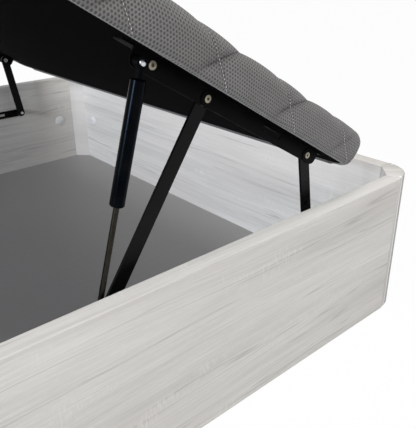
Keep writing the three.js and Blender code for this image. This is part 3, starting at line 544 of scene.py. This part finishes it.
def puff(u, v):
    """How far the cover stands out between its seams, below zero. One family of seams is drawn in deeper."""
    first, second = seam_distances(u, v)
    swell = (1 - np.exp(-first / SWELL_REACH)) * (1 - SHALLOW * np.exp(-second / SHALLOW_REACH))
    pucker = PUCKER * np.sin(u / 11.0 + 1.7 * np.sin(v / 23.0))
    pucker = pucker * np.exp(-np.minimum(first, second) / PUCKER_REACH)
    slow = SLOW_WAVE * np.sin(u / 97.0 + 1.3) * np.sin(v / 83.0 + 0.4)
    # The seams lie shallower close to a corner, where the cloth is pulled tight
    to_end = np.minimum(u, COVER_ALONG - u)
    to_side = np.minimum(v, COVER_WIDE - v)
    from_corner = np.hypot(np.clip(to_end, 0, None), np.clip(to_side, 0, None))
    depth = QUILT_DEPTH * (0.1 + 0.9 * np.clip((from_corner - CALM_CORNER) / CALM_FADE, 0, 1))
    return depth * (swell / 0.95 - 1) + pucker * swell + slow


def sway(u, v):
    """How far the seams wander lengthwise close to the border, where they were sewn by eye."""
    to_end = np.clip(np.minimum(u, COVER_ALONG - u) / 60, 0, 1)
    inwards = np.minimum(v, COVER_WIDE - v) - FIRST_ROW
    to_side = np.clip(inwards / 30, 0, 1) * np.exp(-(inwards / SWAY_REACH) ** 2)
    return SWAY * np.sin(2 * math.pi * (u - SWAY_START) / SWAY_LENGTH) * to_end * to_side


def drape(girth):
    """Inset, height, outward and upward share of the cover's section at a distance over the edge."""
    angle = np.clip(girth / ROLL, 0, math.pi / 2)
    inset = ROLL * (1 - np.cos(angle)) + np.maximum(girth - ROLL_LENGTH, 0)
    height = GIRTH + ROLL * np.sin(angle) + np.minimum(girth, 0)
    return inset, height, np.cos(angle), np.sin(angle)


def rounded_corner(x, y, along_end):
    """Bends places near a corner round it. Returns them, the way outwards and how much they face aslant."""
    past_x = x - (LID_LENGTH / 2 - LID_CORNER)
    past_y = y - (LID_WIDTH / 2 - LID_CORNER)
    corner = (past_x > 0) & (past_y > 0)
    reach = np.maximum(past_x, past_y)
    span = np.maximum(np.hypot(past_x, past_y), 1e-9)
    out_x = np.where(corner, past_x / span, np.where(along_end, 1.0, 0.0))
    out_y = np.where(corner, past_y / span, np.where(along_end, 0.0, 1.0))
    x = np.where(corner, LID_LENGTH / 2 - LID_CORNER + out_x * reach, x)
    y = np.where(corner, LID_WIDTH / 2 - LID_CORNER + out_y * reach, y)
    turn = np.where(corner, np.sqrt(2 * out_x * out_y), 0)
    return x, y, out_x, out_y, turn


def cover_place(u, v, lift=0.0):
    """Places of the cover in the lid's frame. u and v run over the cloth, below zero down its border."""
    u, v = np.broadcast_arrays(np.asarray(u, float), np.asarray(v, float))
    drawn = puff(u, v)
    u = u + sway(u, v)
    from_end = np.minimum(u, COVER_ALONG - u)
    from_side = np.minimum(v, COVER_WIDE - v)
    girth = np.minimum(from_end, from_side)
    height, out, up = drape(girth)[1:]
    x = LID_LENGTH / 2 - drape(np.maximum(from_end, 0))[0] - HEAD_INSET * (u < COVER_ALONG / 2)
    y = LID_WIDTH / 2 - drape(np.maximum(from_side, 0))[0]
    x, y, out_x, out_y, turn = rounded_corner(x, y, from_end < from_side)
    crown = CROWN * np.sin(np.pi * np.clip(u, 0, COVER_ALONG) / COVER_ALONG)
    crown = crown * np.sin(np.pi * np.clip(v, 0, COVER_WIDE) / COVER_WIDE)
    under = np.clip(-girth / (GIRTH + BORDER_DROP), 0, 1)
    drawn = drawn * (1 - 0.75 * under ** 3) + lift
    # The border's foot rises a little on its way round each corner, and is drawn in
    height = height + CORNER_LIFT * under * turn
    tuck = TUCK * (1 - np.clip((height + BORDER_DROP) / TUCK_HEIGHT, 0, 1)) ** 2
    tuck += CORNER_TUCK * turn * (1 - np.clip((height + BORDER_DROP) / CORNER_TUCK_HEIGHT, 0, 1)) ** 2
    push = out * drawn - tuck
    return np.stack([
        np.where(u < COVER_ALONG / 2, 1, -1) * (x + out_x * push),
        np.where(v < COVER_WIDE / 2, -1, 1) * (y + out_y * push),
        height + up * (drawn + crown),
    ], axis=-1)


def lid_to_world(points):
    """Points in the lid's frame, in millimetres, to the open lid's place in metres."""
    centre = LID_HEAD_END - LID_LENGTH / 2
    x = points[..., 0] + centre
    z = points[..., 2] + LID_UNDER
    world_x = HEAD_PIVOT[0] + x * math.cos(LID_TILT) + z * math.sin(LID_TILT)
    world_z = HEAD_PIVOT[1] - x * math.sin(LID_TILT) + z * math.cos(LID_TILT)
    return np.stack([world_x, points[..., 1], world_z], axis=-1) * MM


def cloth_steps(total, start, pitch):
    """Grid lines over the cloth, the same count between crossings both ways, so that seams run on them."""
    step = pitch / 2 / STEPS_BETWEEN
    first = start % step
    lines = np.arange(first, total, step)
    lines = lines[(lines > step * 0.4) & (lines < total - step * 0.4)]
    return np.concatenate([[0.0], lines, [total]])


class Skin:
    """The points of a skin, their places on the cloth, and its faces."""

    def __init__(self):
        self.points, self.cloth, self.faces = [], [], []
        self.total = 0

    def add(self, points, cloth):
        """Adds points and returns their numbers."""
        self.points.append(points.reshape(-1, 3))
        self.cloth.append(cloth.reshape(-1, 2))
        first = self.total
        self.total += len(self.points[-1])
        return list(range(first, self.total))

    def add_ring(self, above, points, cloth):
        """Adds a ring of points below another ring, closes the strip between them and returns its numbers."""
        ring = self.add(points, cloth)
        for k in range(len(ring)):
            n = (k + 1) % len(ring)
            self.faces += [(above[k], above[n], ring[n]), (above[k], ring[n], ring[k])]
        return ring


def quilt_top(skin, us, vs):
    """Adds the quilted top, a grid whose squares are split along the seam beside them."""
    grid_u, grid_v = np.meshgrid(us, vs, indexing="ij")
    numbers = skin.add(cover_place(grid_u, grid_v), np.stack([grid_u, grid_v], -1))
    index = np.array(numbers).reshape(grid_u.shape)
    first, second = seam_distances(grid_u, grid_v)
    for i in range(len(us) - 1):
        for j in range(len(vs) - 1):
            a, b = index[i, j:j + 2].tolist()
            d, c = index[i + 1, j:j + 2].tolist()
            on_first = first[i, j + 1] + first[i + 1, j]
            on_second = second[i, j] + second[i + 1, j + 1]
            if on_second < on_first:
                skin.faces += [(a, b, c), (a, c, d)]
            else:
                skin.faces += [(a, b, d), (b, c, d)]
    return index


def edge_of_grid(rows, columns):
    """The places round the edge of a grid, and the way outwards at each."""
    edge = [(i, 0) for i in range(rows - 1)]
    edge += [(rows - 1, j) for j in range(columns - 1)]
    edge += [(i, columns - 1) for i in range(rows - 1, 0, -1)]
    edge += [(0, j) for j in range(columns - 1, 0, -1)]
    outward = [((i == rows - 1) - (i == 0), (j == columns - 1) - (j == 0)) for i, j in edge]
    return np.array(edge), np.array(outward)


def hang_border(skin, us, vs, index):
    """Adds the rings that go down from the edge of the top. Returns the last one and the way outwards."""
    edge, outward = edge_of_grid(len(us), len(vs))
    ring = index[edge[:, 0], edge[:, 1]].tolist()
    for drop in np.linspace(0, GIRTH + BORDER_DROP, BORDER_STEPS + 1)[1:]:
        u = us[edge[:, 0]] + outward[:, 0] * drop
        v = vs[edge[:, 1]] + outward[:, 1] * drop
        ring = skin.add_ring(ring, cover_place(u, v), np.stack([u, v], -1))
    return ring, outward


def close_foot(skin, ring, outward):
    """Adds the border's foot, which wraps under at the corners, then the hollow's wall and ceiling."""
    rim, cloth = skin.points[-1], skin.cloth[-1]
    core = np.array([LID_LENGTH / 2 - LID_CORNER, LID_WIDTH / 2 - LID_CORNER])
    base = np.clip(rim[:, :2], -core, core)
    towards = rim[:, :2] - base
    rim_reach = np.hypot(towards[:, 0], towards[:, 1])
    towards /= np.maximum(np.linalg.norm(towards, axis=1, keepdims=True), 1e-9)
    turn = np.sqrt(np.clip(2 * np.abs(towards[:, 0] * towards[:, 1]), 0, 1))
    straight = 1 - turn
    lip_reach = LID_CORNER - WALL - CORNER_LIP * turn
    sections = [
        (rim_reach + (lip_reach - rim_reach) * 0.45, rim[:, 2] * 1.12 * straight - 2.4 * turn),
        (rim_reach + (lip_reach - rim_reach) * 0.8, rim[:, 2] * 0.7 * straight - 3.0 * turn),
        (lip_reach, -0.7 * turn),
        (LID_CORNER - WALL, 0.5 - 0.95 * turn),
        (LID_CORNER - WALL, np.full(len(rim), HOLLOW)),
    ]
    for step, (reach, height) in enumerate(sections, 1):
        places = np.stack([
            base[:, 0] + towards[:, 0] * reach, base[:, 1] + towards[:, 1] * reach, height,
        ], -1)
        ring = skin.add_ring(ring, places, cloth + outward * FOOT_CLOTH * step)
    skin.faces.append(tuple(ring))


def make_cover():
    """One closed skin: the quilted top, its border, the border's foot and the hollow for the board."""
    us = cloth_steps(COVER_ALONG, QUILT_START, QUILT_ALONG)
    vs = cloth_steps(COVER_WIDE, FIRST_ROW, QUILT_ACROSS)
    skin = Skin()
    index = quilt_top(skin, us, vs)
    ring, outward = hang_border(skin, us, vs, index)
    outer_faces = len(skin.faces)
    close_foot(skin, ring, outward)

    cover = mesh_object("quilted_cover", lid_to_world(np.concatenate(skin.points)), skin.faces)
    uv = np.concatenate(skin.cloth) * MM
    layer = cover.data.uv_layers.new(name="cover")
    loop_vertices = np.zeros(len(cover.data.loops), np.int32)
    cover.data.loops.foreach_get("vertex_index", loop_vertices)
    layer.data.foreach_set("uv", uv[loop_vertices].astype(np.float32).ravel())
    cover.data.materials.append(FINISHES["quilted_fabric"])
    cover.data.materials.append(FINISHES["black_underside"])
    cloth_faces = outer_faces + 2 * LIP_RINGS * len(ring)
    for polygon in cover.data.polygons:
        polygon.use_smooth = polygon.index < outer_faces
        polygon.material_index = int(polygon.index >= cloth_faces)
    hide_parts("lid_pad")
    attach(cover, "lid")


def seam_lines():
    """The lines of the seams that show their thread, as chains of places on the cover."""
    chains = []
    low = THREAD_END - GIRTH - BORDER_DROP
    high_u = COVER_ALONG - low
    high_v = COVER_WIDE - low
    count = int(2 * (COVER_ALONG / QUILT_ALONG + COVER_WIDE / QUILT_ACROSS))
    for k in range(-count, count):
        v = np.arange(low, high_v, SEAM_STEP)
        u = QUILT_START + (k + (v - FIRST_ROW) / QUILT_ACROSS) * QUILT_ALONG
        inside = (u > low) & (u < high_u)
        # A seam goes down one border only, never off the corner between two
        inside &= ~(((u < 0) | (u > COVER_ALONG)) & ((v < 0) | (v > COVER_WIDE)))
        if inside.sum() > 3:
            chains.append(lid_to_world(cover_place(u[inside], v[inside], THREAD_LIFT)))
    return chains


# Repeated pieces

def new_tree(name, *inputs):
    """A geometry tree with a geometry input, the named inputs and a geometry output."""
    tree = bpy.data.node_groups.new(name, "GeometryNodeTree")
    tree.interface.new_socket("Geometry", in_out="INPUT", socket_type="NodeSocketGeometry")
    for label, kind, value in inputs:
        socket = tree.interface.new_socket(label, in_out="INPUT", socket_type=kind)
        if value is not None:
            socket.default_value = value
    tree.interface.new_socket("Geometry", in_out="OUTPUT", socket_type="NodeSocketGeometry")
    return tree


def stitch_tree():
    """Lays stitches of one length end to end along each line of its mesh."""
    tree = new_tree(
        "stitches_along_lines",
        ("Pitch", "NodeSocketFloat", STITCH_PITCH * MM),
        ("Thread radius", "NodeSocketFloat", THREAD_RADIUS * MM),
        ("Thread", "NodeSocketMaterial", None),
    )
    given = add_node(tree, "NodeGroupInput").outputs
    curve = add_node(tree, "GeometryNodeMeshToCurve", {"Mesh": given["Geometry"]})
    steps = add_node(tree, "GeometryNodeResampleCurve", {
        "Curve": curve.outputs[0], "Length": given["Pitch"],
    }, mode="LENGTH")
    tangent = add_node(tree, "GeometryNodeInputTangent")
    turn = add_node(tree, "FunctionNodeAlignRotationToVector", {"Vector": tangent.outputs[0]}, axis="Z")
    stitch = add_node(tree, "GeometryNodeMeshUVSphere", {
        "Segments": 5, "Rings": 4, "Radius": given["Thread radius"],
    })
    longer = add_node(tree, "GeometryNodeTransform", {
        "Geometry": stitch.outputs[0], "Scale": (1.0, 1.0, THREAD_STRETCH),
    })
    laid = add_node(tree, "GeometryNodeInstanceOnPoints", {
        "Points": steps.outputs[0], "Instance": longer.outputs[0], "Rotation": turn.outputs[0],
    })
    real = add_node(tree, "GeometryNodeRealizeInstances", {0: laid.outputs[0]})
    painted = add_node(tree, "GeometryNodeSetMaterial", {
        "Geometry": real.outputs[0], "Material": given["Thread"],
    })
    smooth = add_node(tree, "GeometryNodeSetShadeSmooth", {0: painted.outputs[0]})
    out = add_node(tree, "NodeGroupOutput")
    tree.links.new(smooth.outputs[0], out.inputs[0])
    return tree


def fixing_tree():
    """Sets one turned head on each point of its mesh, turned to the way that the point faces."""
    tree = new_tree(
        "fixings_on_points",
        ("Head", "NodeSocketObject", None),
        ("Size", "NodeSocketFloat", 1.0),
        ("Finish", "NodeSocketMaterial", None),
    )
    given = add_node(tree, "NodeGroupInput").outputs
    head = add_node(tree, "GeometryNodeObjectInfo", {"Object": given["Head"]})
    facing = add_node(tree, "GeometryNodeInputNamedAttribute", {"Name": "facing"},
                      data_type="FLOAT_VECTOR")
    turn = add_node(tree, "FunctionNodeAlignRotationToVector", {"Vector": facing.outputs[0]}, axis="Z")
    laid = add_node(tree, "GeometryNodeInstanceOnPoints", {
        "Points": given["Geometry"], "Instance": head.outputs["Geometry"],
        "Rotation": turn.outputs[0], "Scale": given["Size"],
    })
    real = add_node(tree, "GeometryNodeRealizeInstances", {0: laid.outputs[0]})
    painted = add_node(tree, "GeometryNodeSetMaterial", {
        "Geometry": real.outputs[0], "Material": given["Finish"],
    })
    out = add_node(tree, "NodeGroupOutput")
    tree.links.new(painted.outputs[0], out.inputs[0])
    return tree


def grow(name, vertices, edges, tree, body, slot, facing=None, **inputs):
    """A plain mesh from a geometry tree over some points and lines, riding on a body."""
    carrier = mesh_object(name + "_lines", vertices, edges=edges)
    if facing is not None:
        ways = carrier.data.attributes.new("facing", "FLOAT_VECTOR", "POINT")
        ways.data.foreach_set("vector", np.array(facing, np.float32).ravel())
    modifier = carrier.modifiers.new("grow", "NODES")
    modifier.node_group = tree
    for item in tree.interface.items_tree:
        if item.item_type == "SOCKET" and item.in_out == "INPUT" and item.name in inputs:
            modifier[item.identifier] = inputs[item.name]
    bpy.context.view_layer.update()
    grown = bpy.data.meshes.new_from_object(carrier.evaluated_get(bpy.context.evaluated_depsgraph_get()))
    piece = bpy.data.objects.new(name, grown)
    bpy.context.scene.collection.objects.link(piece)
    bpy.data.objects.remove(carrier)
    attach(piece, body)


def reach_with_flats(radius, angle, flats):
    """How far out a head with flats reaches at an angle, where its corners reach the radius."""
    sector = 2 * math.pi / flats
    return radius * math.cos(sector / 2) / math.cos((angle % sector) - sector / 2)


def turned_head(name, profile, steps=24, flats=0):
    """A head turned about Z from a profile of radii and heights in millimetres, kept as a pattern."""
    shape = bmesh.new()
    rings = []
    for radius, height in profile:
        ring = []
        for k in range(steps if radius else 1):
            angle = 2 * math.pi * k / steps
            reach = reach_with_flats(radius, angle, flats) if flats else radius
            ring.append(shape.verts.new((
                reach * MM * math.cos(angle), reach * MM * math.sin(angle), height * MM,
            )))
        rings.append(ring)
    for lower, upper in zip(rings, rings[1:]):
        for k in range(steps):
            n = (k + 1) % steps
            if len(lower) == 1:
                shape.faces.new((lower[0], upper[n], upper[k]))
            elif len(upper) == 1:
                shape.faces.new((lower[k], lower[n], upper[0]))
            else:
                shape.faces.new((lower[k], lower[n], upper[n], upper[k]))
    bmesh.ops.recalc_face_normals(shape, faces=shape.faces)
    mesh = bpy.data.meshes.new(name)
    shape.to_mesh(mesh)
    shape.free()
    return bpy.data.objects.new(name, mesh)


PAN_HEAD = [(0, 0), (4.8, 0), (4.8, 0.7), (4.4, 1.4), (3.4, 1.9), (2.0, 2.1), (1.5, 1.2), (0, 1.0)]
FLAT_BOLT = [(0, 0), (6.2, 0), (6.2, 0.55), (5.8, 0.95), (2.6, 1.0), (2.5, 0.45), (0, 0.4)]
ROUND_STUD = [(0, 0), (5.0, 0), (5.0, 1.1), (4.6, 1.6), (3.4, 2.0), (0, 2.05)]
SOCKET_SHADE_DISC = [(0, 0), (2.4, 0), (2.4, 0.12), (0, 0.14)]
STUD_NUT = [(0, 0), (5.3, 0), (5.3, 0.5), (5.0, 1.4), (3.2, 1.5), (3.0, 2.6), (2.4, 2.9), (0, 2.9)]


def make_stitches():
    """The thread of the seams, as separate stitches."""
    vertices = []
    edges = []
    for chain in seam_lines():
        start = len(vertices)
        vertices += list(chain)
        edges += [(start + k, start + k + 1) for k in range(len(chain) - 1)]
    grow("quilting_stitches", vertices, edges, stitch_tree(), "lid", "quilted_fabric",
         Thread=FINISHES["thread"])


def make_fixings():
    """Screws and studs that are too small for solids of their own."""
    tree = fixing_tree()
    pan = turned_head("pan_head", PAN_HEAD)
    flat = turned_head("flat_bolt_head", FLAT_BOLT)
    stud = turned_head("round_stud_head", ROUND_STUD)
    nut = turned_head("stud_nut", STUD_NUT, 36, 6)
    socket = turned_head("socket_floor", SOCKET_SHADE_DISC)
    zinc, bright_zinc = FINISHES["zinc"], FINISHES["bright_zinc"]
    slots = (SHORT_FOOT[0] - SLOT_INSET, (SHORT_FOOT[0] + LONG_FOOT[0]) / 2, LONG_FOOT[0] + SLOT_INSET)
    rail_screws = [slot + way * SCREW_FROM_SLOT for slot in slots for way in (1, -1)]
    foot = Vector((SHORT_FOOT[0], 0, SHORT_FOOT[1]))
    up_arm = Vector((HEAD_PIVOT[0] - SHORT_FOOT[0], 0, HEAD_PIVOT[1] - SHORT_FOOT[1])).normalized()
    stop = foot + up_arm * STOP_FROM_FOOT
    down = tuple((on_lid(0, 0, -1) - on_lid(0, 0, 0)) / MM)
    for side, sign in SIDES.items():
        inboard, outboard = (0, -sign, 0), (0, sign, 0)
        rail_y = at_depth(side, LOWER_RAIL_FACE)
        flange_y = at_depth(side, FLANGE_DEPTH)
        along, above = RAIL_BOLT
        fixings = (
            ("lower_rail_screws", "box", "black_steel", inboard, pan, 1.0, STEEL,
             [Vector((x, rail_y, LOWER_RAIL_HEIGHT)) * MM for x in rail_screws]),
            ("lid_flange_screws", "lid", "black_steel", down, pan, 0.85, STEEL,
             [on_lid(x, flange_y, FLANGE_FACE) for x in FLANGE_SCREWS]),
            ("lid_rail_fixing_bolt", "lid", "zinc", outboard, flat, 1.0, zinc,
             [on_lid(along, at_depth(side, LEG_FACE), above)]),
            # A dark disc of painted shade in the fixing bolt's socket
            ("lid_rail_fixing_socket", "lid", "zinc", outboard, socket, 1.0, SOCKET,
             [on_lid(along, at_depth(side, LEG_FACE - SOCKET_RISE), above)]),
            ("short_arm_stop_stud", f"short_arm_{side}", "black_steel", outboard, stud, 0.95, STEEL,
             [Vector((stop.x, at_depth(side, ARM_FACE), stop.z)) * MM]),
            ("short_arm_foot_nut", f"short_arm_{side}", "zinc", inboard, nut, 1.0, bright_zinc,
             [Vector((foot.x, at_depth(side, FOOT_NUT_FACE), foot.z)) * MM]),
        )
        for name, body, slot, way, head, size, finish, places in fixings:
            grow(f"{name}_{side}", places, [], tree, body, slot, [way] * len(places),
                 Head=head, Size=size, Finish=finish)
    for head in (pan, flat, stud, nut, socket):
        bpy.data.objects.remove(head)


# Camera, light and floor

def make_camera():
    """The photograph's viewpoint, near the floor at the bed's side, looking towards its head end."""
    turn, dip, roll = (math.radians(a) for a in CAMERA_ANGLES)
    forward = Vector((math.sin(turn) * math.cos(dip), math.cos(turn) * math.cos(dip), math.sin(dip)))
    right = Vector((math.cos(turn), -math.sin(turn), 0))
    up = right.cross(forward)
    rolled_right = right * math.cos(roll) + up * math.sin(roll)
    rolled_up = up * math.cos(roll) - right * math.sin(roll)
    camera = bpy.data.objects.new("camera", bpy.data.cameras.new("camera"))
    bpy.context.scene.collection.objects.link(camera)
    axes = Matrix((rolled_right, rolled_up, -forward)).transposed().to_4x4()
    camera.matrix_world = Matrix.Translation(CAMERA_PLACE) @ axes
    camera.data.lens = CAMERA_LENS
    camera.data.clip_start = 0.01
    bpy.context.scene.camera = camera


def area_light(name, place, target, size, power, colour=(1, 1, 1)):
    """A rectangular lamp that shines from a place towards a target and isn't seen itself."""
    lamp = bpy.data.lights.new(name, "AREA")
    lamp.shape = "RECTANGLE"
    lamp.size, lamp.size_y = size
    lamp.energy = power
    lamp.color = colour
    made = bpy.data.objects.new(name, lamp)
    bpy.context.scene.collection.objects.link(made)
    made.visible_camera = False
    made.location = place
    made.rotation_mode = "QUATERNION"
    made.rotation_quaternion = (Vector(target) - Vector(place)).to_track_quat("-Z", "Y")


def make_light():
    """A pale studio: even light from all round, a broad lamp above and one that shines into the box."""
    world = bpy.data.worlds.new("pale_studio")
    bpy.context.scene.world = world
    world.use_nodes = True
    tree = world.node_tree
    background = tree.nodes["Background"]
    background.inputs["Color"].default_value = (1, 0.99, 0.98, 1)
    background.inputs["Strength"].default_value = 0.53
    # To the camera the surroundings are plain white
    white = add_node(tree, "ShaderNodeBackground", {"Color": (1, 1, 1, 1)})
    path = add_node(tree, "ShaderNodeLightPath").outputs
    seen = add_node(tree, "ShaderNodeMath", {
        0: path["Is Camera Ray"], 1: path["Is Transmission Ray"],
    }, operation="MAXIMUM")
    choice = add_node(tree, "ShaderNodeMixShader", {
        0: seen.outputs[0], 1: background.outputs[0], 2: white.outputs[0],
    })
    tree.links.new(choice.outputs[0], tree.nodes["World Output"].inputs["Surface"])
    area_light("lamp_above", place=(-0.2, -1.6, 3.2), target=(0.1, -0.6, 0.3), size=(2.4, 1.0), power=74)
    area_light("lamp_into_box", place=(-8.0, -1.15, 2.8), target=(0.9, 0.3, 0.12), size=(2.2, 1.8),
               power=625, colour=(0.84, 0.89, 1.0))


def make_floor():
    """A pale studio floor that is white to the camera and keeps the bed's soft shadow."""
    corners = [(x * FLOOR_REACH, y * FLOOR_REACH, 0) for x, y in ((-1, -1), (1, -1), (1, 1), (-1, 1))]
    floor = mesh_object("studio_floor", corners, [(0, 1, 2, 3)])
    floor.location.z = -0.0005
    paint = Finish("studio_floor", Roughness=0.9, Base_Color=(0.7, 0.7, 0.7, 1))
    glow = paint.node("ShaderNodeEmission", {"Color": (1, 1, 1, 1), "Strength": 1.0})
    path = paint.node("ShaderNodeLightPath").outputs
    seen = paint.maths("MAXIMUM", path["Is Camera Ray"], path["Is Glossy Ray"])
    share = paint.maths("MULTIPLY", seen, 0.96)
    blend = paint.node("ShaderNodeMixShader", {0: share, 1: paint.shader.outputs[0], 2: glow.outputs[0]})
    paint.links.new(blend.outputs[0], paint.nodes["Material Output"].inputs["Surface"])
    floor.data.materials.append(paint.material)


make_camera()
make_light()
make_floor()
dress_solids()
make_cover()
make_stitches()
make_fixings()

bpy.context.scene.view_settings.view_transform = "Standard"
